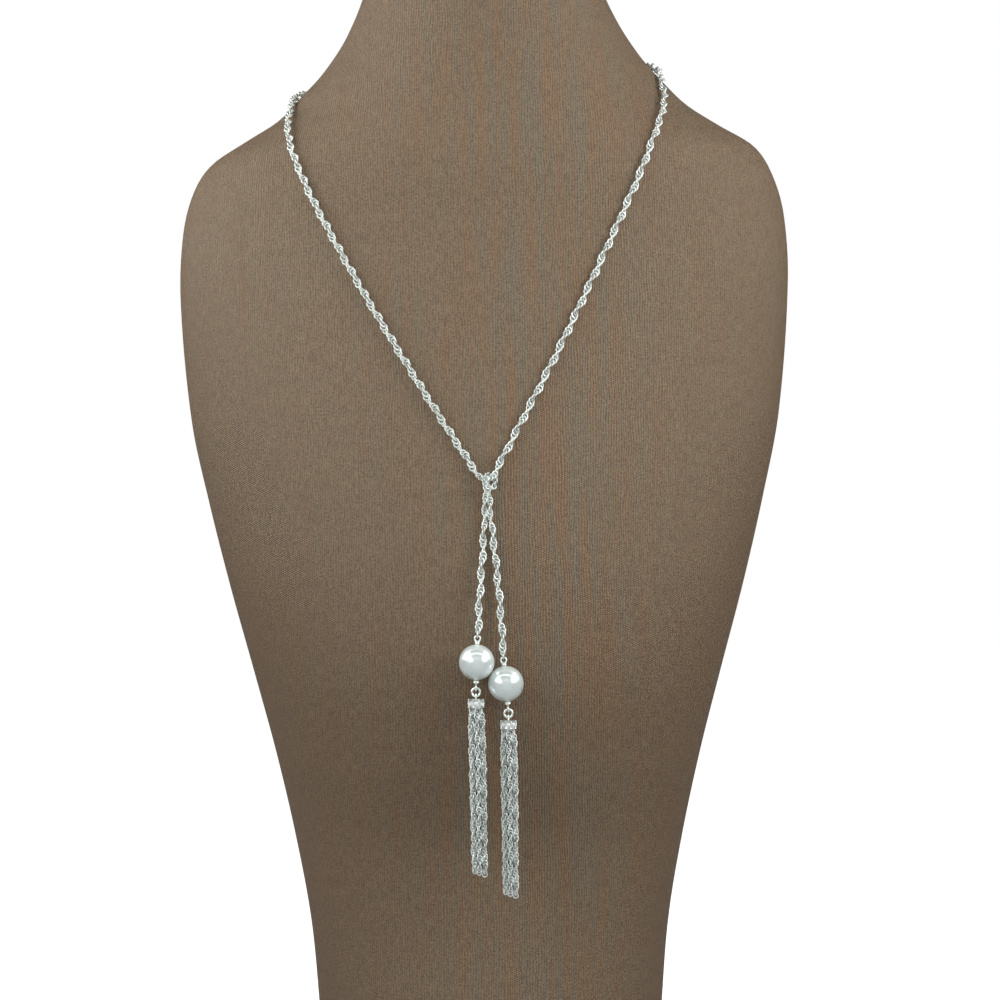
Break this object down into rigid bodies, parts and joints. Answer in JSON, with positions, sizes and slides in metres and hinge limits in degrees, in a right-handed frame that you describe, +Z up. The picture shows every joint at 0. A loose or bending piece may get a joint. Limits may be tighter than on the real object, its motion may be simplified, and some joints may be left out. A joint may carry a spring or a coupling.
{
  "type": "lariat necklace on a neck bust",
  "caption": "Silver rope-chain lariat tied once on the chest of a padded neck bust, its ends hanging as pearl drops with stone-set caps and chain tassels.",
  "frame": {"origin": "on the underside of the bust's foot, under the widest line of its sections", "axes": "+Z up, the bust's front looks along -Y, +X to the right of someone who faces the front"},
  "size_m": [0.2202, 0.1359, 0.434],
  "materials": {
    "bust_cloth": "fine ribbed satin-like cloth, taupe brown",
    "silver": "bright silver-tone plate",
    "pearl": "white pearl lustre",
    "crystal": "clear cut stone"
  },
  "bodies": {
    "root": {"neck_bust": "bust_cloth", "chain": "silver", "left_pearl": "pearl", "left_eye_pin": "silver", "left_jump_ring": "silver", "left_tassel_cap": "silver", "left_tassel": "silver", "right_pearl": "pearl", "right_eye_pin": "silver", "right_jump_ring": "silver", "right_tassel_cap": "silver", "right_tassel": "silver", "left_stone_1": "crystal", "left_stone_2": "crystal", "left_stone_3": "crystal", "left_stone_4": "crystal", "left_stone_5": "crystal", "left_stone_6": "crystal", "left_stone_7": "crystal", "left_stone_8": "crystal", "right_stone_1": "crystal", "right_stone_2": "crystal", "right_stone_3": "crystal", "right_stone_4": "crystal", "right_stone_5": "crystal", "right_stone_6": "crystal", "right_stone_7": "crystal", "right_stone_8": "crystal"}
  },
  "joints": []
}
